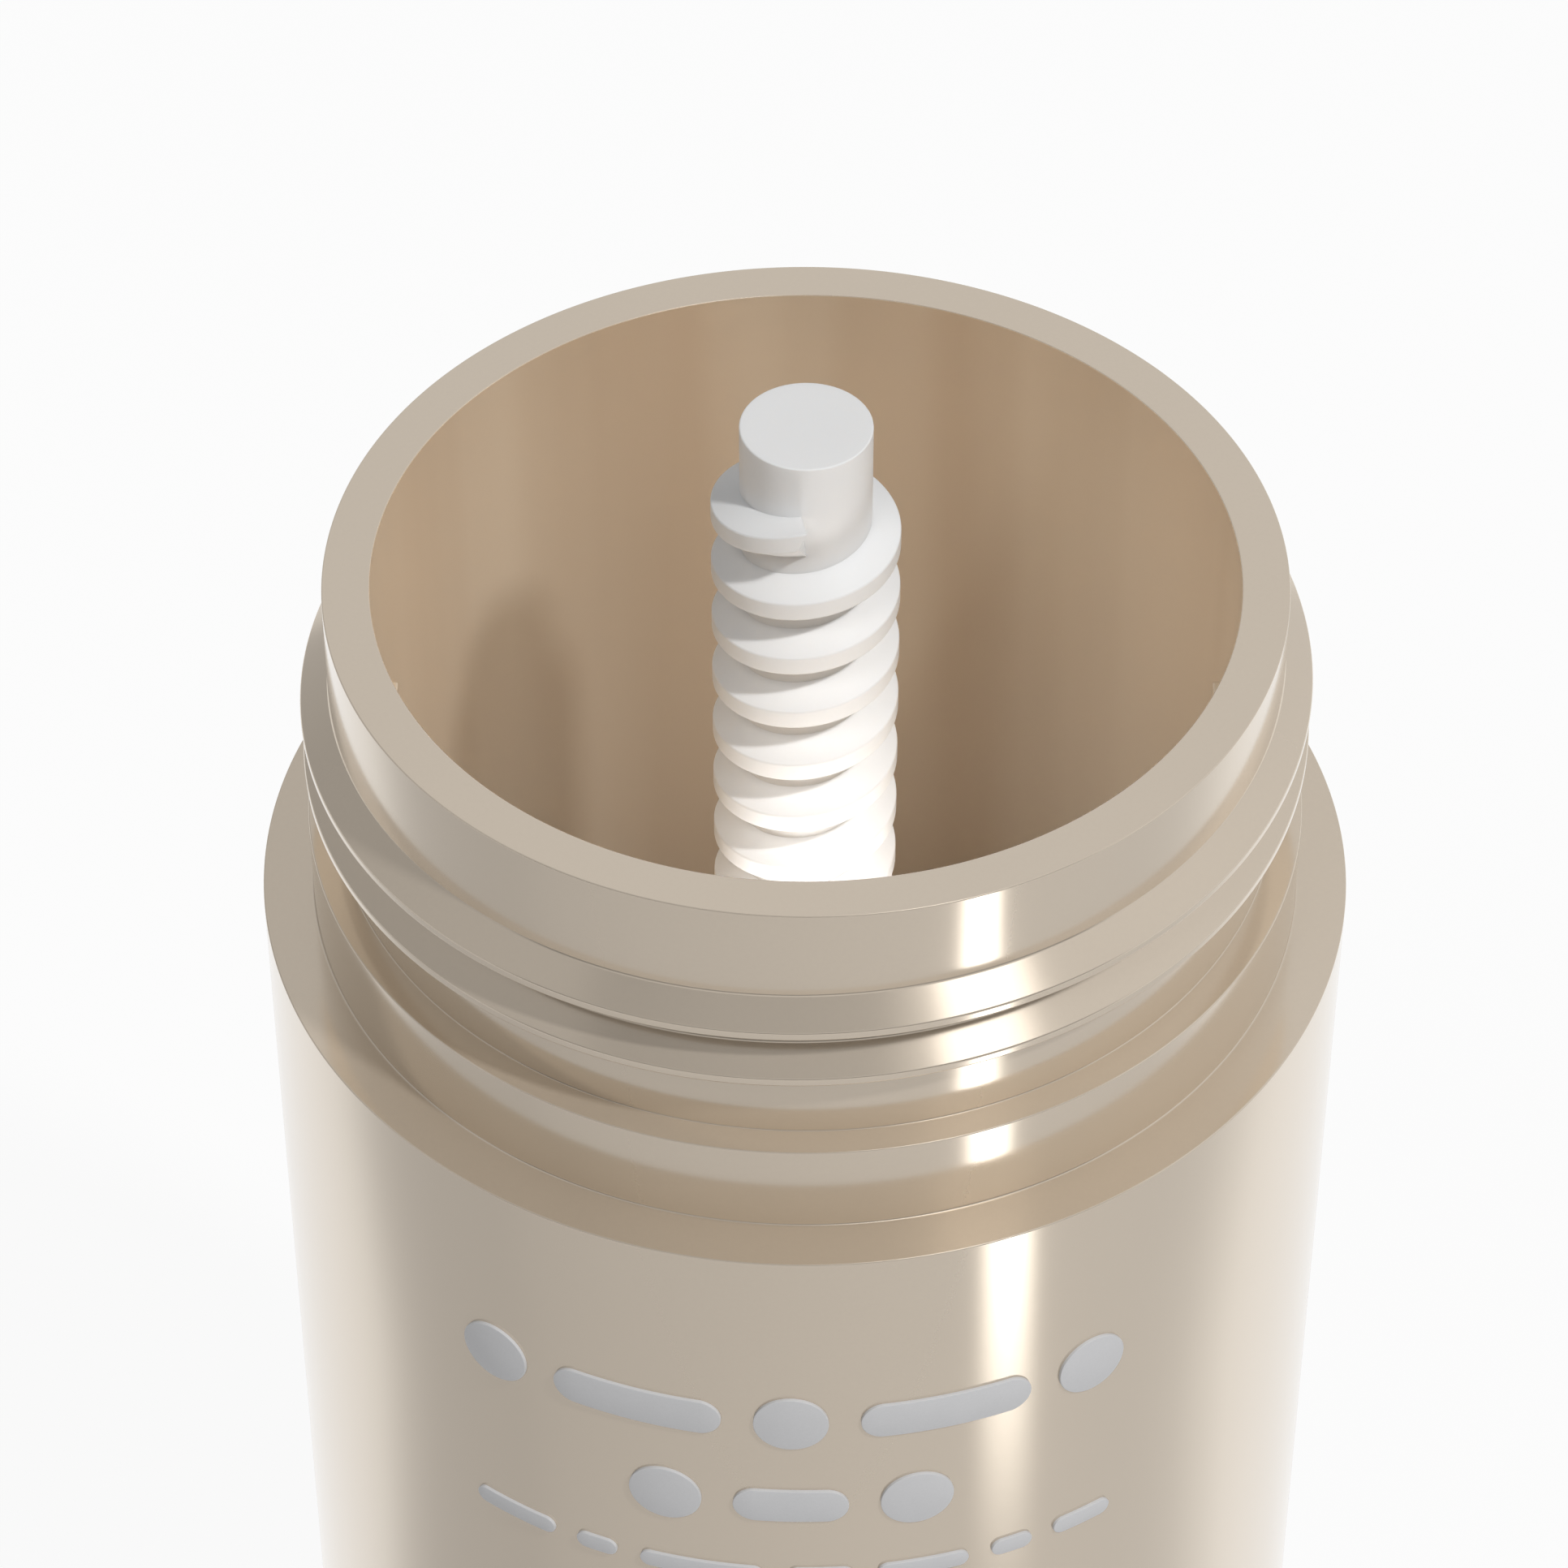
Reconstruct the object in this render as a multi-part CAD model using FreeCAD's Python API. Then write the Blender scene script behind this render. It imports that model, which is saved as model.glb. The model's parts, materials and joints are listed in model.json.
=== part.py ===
import FreeCAD, Part
import math
import os

# A round twist-up deodorant stick, open and empty, standing on its dial.
# Millimetres, +Z up, origin at the centre of the base. The marks on the front face -Y.
# The dial turns the spindle. The elevator is threaded on the spindle and guided by two ribs
# in the bore, so it climbs instead of turning.

V = FreeCAD.Vector
AXIS = V(0, 0, 1)
CENTRE = V(0, 0, 0)
FRONT = -90.0  # degrees from +X to the front of the pack

# ---------------------------------------------------------------- driving sizes: the outside
shoulder_width = 1.86  # flat ledge from the bead ring out to the barrel's side
dial_height = 14.0
seam_gap = 0.4  # open line between the dial and the sleeve
sleeve_length = 67.4
bead_height = 3.7
neck_length = 10.5  # from the bead ring's top to the rim

# ---------------------------------------------------------------- the neck and its thread
bore_radius = 15.4
neck_wall = 1.7
bead_stand = 1.04  # how far the bead ring stands out from the neck
neck_thread_stand = 1.04
neck_thread_pitch = 2.25
neck_thread_turns = 2.0
neck_thread_root = 1.9  # width where the ridge leaves the neck
neck_thread_crest = 0.3
neck_thread_drop = 3.6  # from the rim down to the ridge's middle where it ends, at the back
edge_break = 0.1  # on the moulded edges round the mouth

# ---------------------------------------------------------------- the sleeve
sleeve_wall = 1.3
shoulder_thickness = 1.5
bead_seat_depth = 0.15  # the bead ring's foot is let into the shoulder
sleeve_clearance = 0.05  # between the sleeve and what it is pushed over
seam_edge_break = 0.2  # on the sleeve and on the dial
centring_rib_count = 6
centring_rib_width = 1.4
centring_rib_height = 5.0

# ---------------------------------------------------------------- inside the barrel
floor_thickness = 1.6
bearing_wall = 1.2
bearing_boss_length = 1.5
guide_rib_stand = 0.7
guide_rib_width = 1.6
guide_rib_drop = 6.0  # the guide ribs end this far below the rim
skirt_bead_stand = 0.6
skirt_bead_height = 1.2
skirt_bead_lift = 1.6  # above the skirt's lower edge

# ---------------------------------------------------------------- the spindle
core_radius = 2.33
flight_stand = 1.02
flight_pitch = 2.58
flight_root = 1.85
flight_crest = 0.72
spindle_reach = 6.8  # the pin stands this far above the rim
plain_pin_length = 3.1  # from the pin's top to the middle of the flight's end
flight_end_angle = -2.0  # degrees from the front
flange_stand = 2.55  # out from the journal
flange_thickness = 1.2
journal_radius = 3.95
stub_width = 5.0  # hexagonal drive stub, across flats
stub_length = 5.5
pin_edge_break = 0.06

# ---------------------------------------------------------------- the elevator
platform_thickness = 1.2
hub_wall = 1.9  # round the nut's thread
hub_below = 4.0  # hub under the platform
hub_above = 6.0  # hub over the platform's underside
skirt_thickness = 1.0
skirt_below = 4.0
skirt_above = 7.0
keyway_wall = 1.0
key_hole_count = 6  # holes that key the product, with a web between each two
key_hole_radius = 2.0
web_thickness = 1.0
web_depth = 2.5

# ---------------------------------------------------------------- the dial and its cover
dial_wall = 1.5
deck_height = 3.2  # from the base to the deck's underside
deck_thickness = 1.4
socket_wall = 2.3
socket_height = 5.0  # above the deck
dial_bead_height = 1.2
base_break = 0.5
flute_count = 48
flute_depth = 0.3
flute_width = 1.5
flute_margin = 2.4  # plain band above and below the flutes
cover_inset = 0.5
cover_thickness = 1.2
cover_stop_stand = 0.8
cover_stop_height = 0.8

# ---------------------------------------------------------------- clearances
thrust_clearance = 0.1  # above and below the barrel's floor
journal_clearance = 0.05
press_clearance = 0.02
slide_clearance = 0.3  # elevator in the bore, and keyways on the guide ribs
thread_clearance = 0.15
rest_clearance = 0.3  # elevator over the flange when it is all the way down
snap_clearance = 0.3
foot_clearance = 0.6  # skirt over the dial's deck
weld = 0.3  # how far a ridge is sunk into the wall that it grows from

# ---------------------------------------------------------------- the marks on the front
mark_relief = 0.12
disc_size = 2.7
bar_height = 1.7
mark_gap = 1.15
small_mark_height = 0.8
small_mark_gap = 0.9
marks_angle = -1.5  # degrees from the front to the rows' middle
upper_row_drop = 8.5  # from the shoulder to the row's middle
lower_row_drop = 13.1
small_row_drop = 17.1
upper_bars = (6.3, 6.3)  # bar lengths, with a disc before, between and after them
lower_bars = (4.2,)
small_bars = (3.4, 1.6, 4.6, 2.4, 3.4, 1.6, 2.4)

# ---------------------------------------------------------------- worked out from the sizes
neck_radius = bore_radius + neck_wall
bead_radius = neck_radius + bead_stand
body_radius = bead_radius + shoulder_width  # the sleeve and the dial share it
sleeve_bore = body_radius - sleeve_wall
rib_radius = sleeve_bore - press_clearance
shell_bore = body_radius - dial_wall
skirt_radius = bore_radius - slide_clearance
skirt_bore = skirt_radius - skirt_thickness
crest_radius = core_radius + flight_stand
nut_bore = crest_radius + thread_clearance
hub_radius = nut_bore + hub_wall
bearing_radius = journal_radius + journal_clearance
socket_width = stub_width + 2 * press_clearance

deck_top = deck_height + deck_thickness
socket_top = deck_top + socket_height
boss_bottom = socket_top + thrust_clearance
floor_bottom = boss_bottom + bearing_boss_length
floor_top = floor_bottom + floor_thickness
flange_bottom = floor_top + thrust_clearance
flange_top = flange_bottom + flange_thickness

skirt_foot = deck_top + foot_clearance
skirt_bead_bottom = skirt_foot + skirt_bead_lift
skirt_bead_top = skirt_bead_bottom + skirt_bead_height

sleeve_bottom = dial_height + seam_gap
shoulder = sleeve_bottom + sleeve_length
bead_seat = shoulder - bead_seat_depth
bead_top = shoulder + bead_height
rim = bead_top + neck_length
pin_top = rim + spindle_reach

# The flight ends under the plain pin and runs down as many half turns as the flange leaves room for.
flight_end = pin_top - plain_pin_length
flight_room = flight_end - flange_top - thread_clearance - flight_root / 2
flight_turns = math.floor(2 * flight_room / flight_pitch) / 2
flight_start = flight_end - flight_pitch * flight_turns
flight_start_angle = FRONT + flight_end_angle - 360.0 * flight_turns

hub_bottom = flange_top + rest_clearance
platform_bottom = hub_bottom + hub_below
platform_top = platform_bottom + platform_thickness
hub_top = platform_bottom + hub_above
skirt_bottom = platform_bottom - skirt_below
skirt_top = platform_bottom + skirt_above


def disc(radius, bottom, top):
    """Plain round solid on the pack's axis."""
    return Part.makeCylinder(radius, top - bottom, V(0, 0, bottom))


def ring(inner_radius, outer_radius, bottom, top):
    """Round solid with a round hole, on the pack's axis."""
    return disc(outer_radius, bottom, top).cut(disc(inner_radius, bottom, top))


def block(length, width, bottom, top, middle=0.0):
    """Upright block, its length along X about middle and its width centred on the X axis."""
    corner = V(middle - length / 2, -width / 2, bottom)
    return Part.makeBox(length, width, top - bottom, corner)


def round_the_pack(shape, count, first_angle=0.0):
    """Copies of a shape, evenly spaced about the axis."""
    copies = []
    for step in range(count):
        copy = shape.copy()
        copy.rotate(CENTRE, AXIS, first_angle + 360.0 * step / count)
        copies.append(copy)
    return copies


def break_edge(solid, size, radius, height):
    """Takes the sharpness off the circular edges that have this radius and this height."""
    near = 1e-3
    edges = [
        edge
        for edge in solid.Edges
        if isinstance(edge.Curve, Part.Circle)
        and abs(edge.Curve.Radius - radius) < near
        and abs(edge.Curve.Center.z - height) < near
    ]
    return solid.makeChamfer(size, edges)


def corner_radius(across_flats):
    """From a hexagon's centre to its corners."""
    return across_flats / math.sqrt(3)


def hexagon(across_flats, bottom, top):
    """Upright hexagonal solid on the pack's axis."""
    reach = corner_radius(across_flats)
    angles = [math.radians(60 * step) for step in range(7)]
    corners = [V(reach * math.cos(angle), reach * math.sin(angle), bottom) for angle in angles]
    return Part.Face(Part.makePolygon(corners)).extrude(V(0, 0, top - bottom))


def ridge_section(root, crest, root_width, crest_width):
    """Corners (radius, height) of a ridge from its root radius to its crest radius.
    Its root is sunk into the wall that carries it, which lies inside an outward ridge
    and outside an inward one."""
    sunk = root + math.copysign(weld, root - crest)
    slope = (root_width - crest_width) / (root - crest)
    sunk_width = crest_width + slope * (sunk - crest)
    return [
        (sunk, -sunk_width / 2),
        (crest, -crest_width / 2),
        (crest, crest_width / 2),
        (sunk, sunk_width / 2),
    ]


def helical_ridge(section, pitch, turns, start_angle, start_height):
    """Right-handed screw thread ridge. It starts with its middle at start_height and climbs.
    Each turn's walls are ruled between the helices that its section's corners follow."""
    corners = [V(radius, 0, height) for radius, height in section]
    start_cap = Part.Face(Part.makePolygon(corners + corners[:1]))
    end_cap = start_cap.copy()
    end_cap.rotate(CENTRE, AXIS, 360.0 * turns)
    end_cap.translate(V(0, 0, pitch * turns))

    walls = []
    for turn in range(math.ceil(turns)):
        climb = pitch * min(1.0, turns - turn)
        helices = []
        for radius, height in section:
            helix = Part.makeHelix(pitch, climb, radius)
            helix.translate(V(0, 0, height + pitch * turn))
            helices.append(Part.Wire(helix.Edges))
        for one, other in zip(helices, helices[1:] + helices[:1]):
            walls += Part.makeRuledSurface(one, other).Faces

    skin = Part.makeShell([start_cap, end_cap] + walls)
    skin.sewShape()
    ridge = Part.makeSolid(skin)
    ridge.rotate(CENTRE, AXIS, start_angle)
    ridge.translate(V(0, 0, start_height))
    return ridge


def neck_thread():
    """The ridge that a cap screws onto. Both its ends are at the back."""
    section = ridge_section(
        neck_radius, neck_radius + neck_thread_stand, neck_thread_root, neck_thread_crest
    )
    start = rim - neck_thread_drop - neck_thread_pitch * neck_thread_turns
    start_angle = FRONT + 180.0 - 360.0 * neck_thread_turns
    return helical_ridge(section, neck_thread_pitch, neck_thread_turns, start_angle, start)


def barrel_ribs():
    """Guide ribs in the bore for the elevator, and outer ribs at the foot that centre the sleeve."""
    guide_length = guide_rib_stand + weld
    guide_middle = bore_radius - guide_rib_stand + guide_length / 2
    guide = block(guide_length, guide_rib_width, floor_top, rim - guide_rib_drop, guide_middle)

    rib_top = sleeve_bottom + centring_rib_height
    rib_length = rib_radius - neck_radius + weld
    rib_middle = neck_radius - weld + rib_length / 2
    centring = block(rib_length, centring_rib_width, sleeve_bottom, rib_top, rib_middle)
    centring = centring.common(disc(rib_radius, sleeve_bottom, rib_top))
    return round_the_pack(guide, 2) + round_the_pack(centring, centring_rib_count, FRONT)


def inner_barrel():
    """Bore, neck, bead ring, floor with its bearing, and the skirt that carries the dial."""
    barrel = disc(neck_radius, skirt_foot, rim)
    barrel = barrel.fuse(disc(bead_radius, bead_seat, bead_top))
    barrel = barrel.fuse(disc(neck_radius + skirt_bead_stand, skirt_bead_bottom, skirt_bead_top))
    barrel = barrel.cut(disc(bore_radius, floor_top, rim))
    barrel = barrel.cut(disc(bore_radius, skirt_foot, floor_bottom))
    barrel = break_edge(barrel, edge_break, bore_radius, rim)
    barrel = break_edge(barrel, edge_break, neck_radius, rim)
    barrel = break_edge(barrel, edge_break, bead_radius, bead_top)

    barrel = barrel.fuse(disc(bearing_radius + bearing_wall, boss_bottom, floor_top))
    barrel = barrel.cut(disc(bearing_radius, boss_bottom, floor_top))
    return barrel.fuse(barrel_ribs() + [neck_thread()])


def outer_sleeve():
    """Smooth jacket whose turned-in top is the flat shoulder that the bead ring sits in."""
    sleeve = disc(body_radius, sleeve_bottom, shoulder)
    sleeve = sleeve.cut(disc(sleeve_bore, sleeve_bottom, shoulder - shoulder_thickness))
    sleeve = sleeve.cut(disc(neck_radius + sleeve_clearance, sleeve_bottom, shoulder))
    sleeve = sleeve.cut(disc(bead_radius + sleeve_clearance, bead_seat, shoulder))
    sleeve = break_edge(sleeve, edge_break, body_radius, shoulder)
    return break_edge(sleeve, seam_edge_break, body_radius, sleeve_bottom)


def spindle():
    """Drive stub, journal, flange, threaded core and plain pin in one moulding."""
    core = disc(core_radius, flange_bottom, pin_top)
    core = break_edge(core, pin_edge_break, core_radius, pin_top)
    flange = disc(journal_radius + flange_stand, flange_bottom, flange_top)
    journal = disc(journal_radius, socket_top, flange_bottom)
    stub = hexagon(stub_width, socket_top - stub_length, socket_top)
    section = ridge_section(core_radius, crest_radius, flight_root, flight_crest)
    flight = helical_ridge(section, flight_pitch, flight_turns, flight_start_angle, flight_start)
    return core.fuse([flange, journal, stub, flight])


def nut_thread():
    """The elevator's internal thread. It lies in the middle of the spindle's groove."""
    tip = core_radius + thread_clearance
    flank = (flight_root - flight_crest) / flight_stand
    groove_floor = flight_pitch - flight_root
    tip_width = groove_floor + flank * (tip - core_radius) - 2 * thread_clearance
    root_width = groove_floor + flank * (nut_bore - core_radius) - 2 * thread_clearance
    section = ridge_section(nut_bore, tip, root_width, tip_width)

    room = hub_top - hub_bottom - root_width
    first_groove = flight_start + flight_pitch / 2
    lowest = hub_bottom + root_width / 2
    skipped = math.ceil((lowest - first_groove) / flight_pitch)
    start = first_groove + flight_pitch * skipped
    turns = math.floor(2 * (room - (start - lowest)) / flight_pitch) / 2
    return helical_ridge(section, flight_pitch, turns, flight_start_angle, start)


def keyways():
    """For each guide rib, the cheeks that thicken the elevator's skirt and the slot cut in them."""
    depth = guide_rib_stand + slide_clearance
    width = guide_rib_width + 2 * slide_clearance
    slot_floor = bore_radius - depth
    cheek_length = skirt_bore - slot_floor + keyway_wall + weld
    cheek_middle = slot_floor - keyway_wall + cheek_length / 2
    cheek = block(cheek_length, width + 2 * keyway_wall, skirt_bottom, skirt_top, cheek_middle)
    slot = block(depth + weld, width, skirt_bottom, skirt_top, slot_floor + (depth + weld) / 2)
    return round_the_pack(cheek, 2), round_the_pack(slot, 2)


def elevator():
    """Platform with the nut on the spindle, the skirt in the bore and the keyways on the ribs."""
    body = disc(skirt_radius, platform_bottom, platform_top)
    body = body.fuse(ring(skirt_bore, skirt_radius, skirt_bottom, skirt_top))
    body = body.fuse(disc(hub_radius, hub_bottom, hub_top))

    web_length = skirt_bore - hub_radius + 2 * weld
    web_middle = hub_radius - weld + web_length / 2
    web_bottom = platform_bottom - web_depth
    web = block(web_length, web_thickness, web_bottom, platform_top, web_middle)
    cheeks, slots = keyways()
    half_step = 180.0 / key_hole_count
    body = body.fuse(round_the_pack(web, key_hole_count, half_step) + cheeks)

    hole_middle = V((hub_radius + skirt_bore) / 2, 0, platform_bottom)
    hole = Part.makeCylinder(key_hole_radius, platform_thickness, hole_middle)
    bore = disc(nut_bore, hub_bottom, hub_top)
    body = body.cut(slots + round_the_pack(hole, key_hole_count) + [bore])
    return body.fuse(nut_thread())


def grip_flutes():
    """Shallow upright hollows round the dial, to be cut from it."""
    flute_radius = (flute_depth**2 + (flute_width / 2) ** 2) / (2 * flute_depth)
    foot = V(body_radius + flute_radius - flute_depth, 0, flute_margin)
    flute = Part.makeCylinder(flute_radius, dial_height - 2 * flute_margin, foot)
    return round_the_pack(flute, flute_count)


def dial():
    """Knob with a deck, a drive socket for the spindle and a bead that snaps over the skirt's."""
    shell = ring(shell_bore, body_radius, 0, dial_height)
    shell = break_edge(shell, seam_edge_break, body_radius, dial_height)
    shell = break_edge(shell, base_break, body_radius, 0)

    bead_bottom = skirt_bead_top + snap_clearance
    bead_bore = neck_radius + snap_clearance
    bead = ring(bead_bore, shell_bore + weld, bead_bottom, bead_bottom + dial_bead_height)
    stop_bottom = cover_inset + cover_thickness
    stop_bore = shell_bore - cover_stop_stand
    stop = ring(stop_bore, shell_bore + weld, stop_bottom, stop_bottom + cover_stop_height)
    deck = disc(shell_bore + weld, deck_height, deck_top)
    socket = disc(corner_radius(socket_width) + socket_wall, deck_height, socket_top)
    knob = shell.fuse([bead, stop, deck, socket])
    return knob.cut(grip_flutes() + [hexagon(socket_width, deck_height, socket_top)])


def base_cover():
    """Disc that closes the dial's underside, up against its stop ring."""
    return disc(shell_bore - press_clearance, cover_inset, cover_inset + cover_thickness)


def pad(length, height, along, middle_height):
    """One raised mark: a rounded bar on the barrel, or a disc where length is the height."""
    half = height / 2
    straight = (length - height) / 2
    edges = [
        Part.Arc(V(straight, 0, half), V(straight + half, 0, 0), V(straight, 0, -half)).toShape(),
        Part.Arc(V(-straight, 0, -half), V(-straight - half, 0, 0), V(-straight, 0, half)).toShape(),
    ]
    if straight > 0:
        edges.insert(1, Part.makeLine(V(straight, 0, -half), V(-straight, 0, -half)))
        edges.append(Part.makeLine(V(-straight, 0, half), V(straight, 0, half)))
    outline = Part.Face(Part.Wire(edges))
    prism = outline.extrude(V(0, -2 * body_radius, 0))
    prism.translate(V(0, 0, middle_height))
    prism.rotate(CENTRE, AXIS, marks_angle + math.degrees(along / body_radius))
    bottom = middle_height - height
    return prism.common(ring(body_radius, body_radius + mark_relief, bottom, bottom + 2 * height))


def mark_row(sizes, gap, drop):
    """A row of pads, given as (length, height), centred on the front of the barrel."""
    along = -(sum(length for length, height in sizes) + gap * (len(sizes) - 1)) / 2
    pads = []
    for length, height in sizes:
        pads.append(pad(length, height, along + length / 2, shoulder - drop))
        along += length + gap
    return Part.makeCompound(pads)


def disc_and_bar_row(bars, drop):
    """Discs with a rounded bar between each two."""
    sizes = [(disc_size, disc_size)]
    for length in bars:
        sizes += [(length, bar_height), (disc_size, disc_size)]
    return mark_row(sizes, mark_gap, drop)


def small_row():
    """Short thin bars in one line."""
    sizes = [(length, small_mark_height) for length in small_bars]
    return mark_row(sizes, small_mark_gap, small_row_drop)


nodes = {
    "inner_barrel": inner_barrel(),
    "outer_sleeve": outer_sleeve(),
    "spindle": spindle(),
    "elevator": elevator(),
    "dial": dial(),
    "base_cover": base_cover(),
    "upper_marks": disc_and_bar_row(upper_bars, upper_row_drop),
    "lower_marks": disc_and_bar_row(lower_bars, lower_row_drop),
    "small_marks": small_row(),
}

os.makedirs("parts", exist_ok=True)
for name, shape in nodes.items():
    shape.exportStep(f"parts/{name}.step")
    print(name, "solids", len(shape.Solids), "valid", shape.isValid(), "mm3", round(shape.Volume, 2))
print("rim", round(rim, 3), "shoulder", round(shoulder, 3), "carrier's top at rest", round(skirt_top, 3))
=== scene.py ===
# %% [markdown]
# # A round twist-up deodorant stick, open
#
# The pack stands on its dial with its cap off and no product in it. A smooth jacket goes round
# an inner barrel, whose neck comes out of the top with a screw thread for the cap. Inside stands
# a white screw. Turning the dial turns the screw, and the carrier on it climbs.
#
# The CAD model comes in as a fixed frame. It has every size and place, and each of its solids is
# stood for here by a piece that is modelled again with Blender's own tools, with the small edge
# roundings and smooth walls that a mirror-like surface needs.

# %% Load the frame
import json
import math

import bmesh
import bpy
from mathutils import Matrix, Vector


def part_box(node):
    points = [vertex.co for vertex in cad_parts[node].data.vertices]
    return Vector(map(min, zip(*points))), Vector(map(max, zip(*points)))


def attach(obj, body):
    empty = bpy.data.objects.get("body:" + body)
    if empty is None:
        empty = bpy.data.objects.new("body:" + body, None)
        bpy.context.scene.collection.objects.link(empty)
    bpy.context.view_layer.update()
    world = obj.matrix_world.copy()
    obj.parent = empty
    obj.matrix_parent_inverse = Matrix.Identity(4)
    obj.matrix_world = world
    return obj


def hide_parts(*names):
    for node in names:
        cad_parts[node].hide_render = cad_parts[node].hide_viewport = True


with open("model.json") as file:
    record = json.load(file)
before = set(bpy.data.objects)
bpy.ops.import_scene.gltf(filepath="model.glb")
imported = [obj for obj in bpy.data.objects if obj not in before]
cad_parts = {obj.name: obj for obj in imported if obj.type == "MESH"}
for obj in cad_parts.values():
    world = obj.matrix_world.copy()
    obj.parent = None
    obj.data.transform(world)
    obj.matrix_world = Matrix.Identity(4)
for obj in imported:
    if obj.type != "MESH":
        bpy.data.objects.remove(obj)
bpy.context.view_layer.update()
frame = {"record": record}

# %% [markdown]
# ## Sizes from the frame
#
# Lengths below are written in millimetres and turned into metres by `mm`. The main heights and
# radii are read from the frame, so a piece can't drift away from the solid it stands for.

# %% The pack's main heights and radii
mm = 0.001
mounts = {mount["name"]: mount for mount in frame["record"]["mounts"]}
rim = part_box("inner_barrel")[1].z
shoulder = mounts["shoulder_face"]["pos_m"][2]
bead_radius = mounts["cap_seat"]["dims"]["r_mm"] * mm
bead_top = shoulder + mounts["cap_seat"]["dims"]["length_mm"] * mm
body_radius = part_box("outer_sleeve")[1].x
sleeve_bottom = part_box("outer_sleeve")[0].z
dial_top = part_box("dial")[1].z
skirt_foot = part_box("inner_barrel")[0].z
pin_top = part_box("spindle")[1].z
stub_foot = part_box("spindle")[0].z
neck_wall = 1.7 * mm
bore_radius = -mounts["rim_face"]["pos_m"][1] - neck_wall / 2
neck_radius = bore_radius + neck_wall
floor_bottom, floor_top = 11.2 * mm, 12.8 * mm
print("rim", round(rim, 4), "shoulder", round(shoulder, 4), "bore", round(bore_radius, 5))

# %% [markdown]
# ## Modelling helpers
#
# Everything round on this pack is turned or screw-shaped, so two helpers do most of the work.
# Both start from a wire outline that is drawn corner by corner in the XZ plane, by extruding one
# vertex. Bevelling its vertices rounds the corners before the wire becomes a surface, which keeps
# the roundings even all the way round.

# %% Choosing and adding
def choose(piece):
    """Selects one piece, and nothing else, for the next operator."""
    bpy.ops.object.select_all(action="DESELECT")
    bpy.context.view_layer.objects.active = piece
    piece.select_set(True)


def add(operator, name, **settings):
    """Adds an object with one of Blender's operators and names it."""
    bpy.ops.object.select_all(action="DESELECT")
    operator(**settings)
    made = bpy.context.object
    made.name = name
    return made


def settle():
    """Applies the selected piece's place, turn and size to its mesh."""
    bpy.ops.object.transform_apply(location=True, rotation=True, scale=True)


def apply_modifier(piece, kind, **settings):
    """Adds a modifier, sets it and applies it."""
    choose(piece)
    bpy.ops.object.modifier_add(type=kind)
    modifier = piece.modifiers[-1]
    for name, value in settings.items():
        setattr(modifier, name, value)
    bpy.ops.object.modifier_apply(modifier=modifier.name)


# %% Picking in edit mode
def start_editing(piece):
    """Edit mode on one piece, with nothing in it selected."""
    choose(piece)
    bpy.ops.object.mode_set(mode="EDIT")
    bpy.ops.mesh.select_mode(type="VERT")
    bpy.ops.mesh.select_all(action="DESELECT")


def stop_editing():
    bpy.ops.object.mode_set(mode="OBJECT")


def pick_all():
    bpy.ops.mesh.select_all(action="SELECT")


def pick(test):
    """Selects the vertices whose place passes the test, and nothing else. Gives how many."""
    bpy.ops.mesh.select_all(action="DESELECT")
    shape = bmesh.from_edit_mesh(bpy.context.edit_object.data)
    chosen = [vertex for vertex in shape.verts if test(vertex.co)]
    for vertex in chosen:
        vertex.select = True
    shape.select_flush(True)
    bmesh.update_edit_mesh(bpy.context.edit_object.data)
    return len(chosen)


def near(one, other, gap=1e-7):
    """True for two lengths that are the same."""
    return abs(one - other) < gap


# %% Shaping in edit mode
def move(across, along, up):
    """Moves what is selected in edit mode."""
    bpy.ops.transform.translate(value=(across, along, up))


def widen(scale):
    """Moves what is selected in edit mode away from the axis, or towards it."""
    bpy.ops.transform.resize(value=(scale, scale, 1), center_override=(0, 0, 0))


def size_and_place(size, middle):
    """Gives everything in edit mode its size and then its place."""
    pick_all()
    bpy.ops.transform.resize(value=size)
    move(*middle)


def weld():
    """Joins the vertices that lie in one place, over the whole piece."""
    pick_all()
    bpy.ops.mesh.remove_doubles(threshold=1e-7)


# %% [markdown]
# A finished piece needs faces that look outwards, and normals that leave its wide faces flat
# while its small roundings shade from one face to the next. Nearly every bright line on this pack
# comes from such a rounding.

# %% Faces and their shading
def face_outwards():
    """Turns every shell of the piece in edit mode right side out. Blender makes a shell's faces
    agree, and a shell whose volume then comes out negative is flipped."""
    pick_all()
    bpy.ops.mesh.normals_make_consistent(inside=False)
    bpy.ops.mesh.select_all(action="DESELECT")
    shape = bmesh.from_edit_mesh(bpy.context.edit_object.data)
    waiting = set(shape.faces)
    while waiting:
        reached, shell = [waiting.pop()], []
        while reached:
            face = reached.pop()
            shell.append(face)
            beside = {other for edge in face.edges for other in edge.link_faces} & waiting
            waiting -= beside
            reached.extend(beside)
        cones = (face.calc_center_median().dot(face.normal) * face.calc_area() for face in shell)
        if sum(cones) < 0:
            for face in shell:
                face.select_set(True)
    bmesh.update_edit_mesh(bpy.context.edit_object.data)
    bpy.ops.mesh.flip_normals()


def enlarge(piece, factor):
    """Makes a piece larger or smaller about the origin."""
    choose(piece)
    piece.scale = (factor, factor, factor)
    settle()


def finish_surface(piece, sharpest=40):
    """Faces outwards, smooth shading up to an angle, and wide faces shaded as flat as they are.
    The modifier takes tiny faces for equal in area, so the piece is in millimetres meanwhile."""
    start_editing(piece)
    face_outwards()
    stop_editing()
    enlarge(piece, 1 / mm)
    bpy.ops.object.shade_smooth_by_angle(angle=math.radians(sharpest))
    apply_modifier(piece, "WEIGHTED_NORMAL", mode="FACE_AREA", weight=100, keep_sharp=True)
    enlarge(piece, mm)


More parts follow.
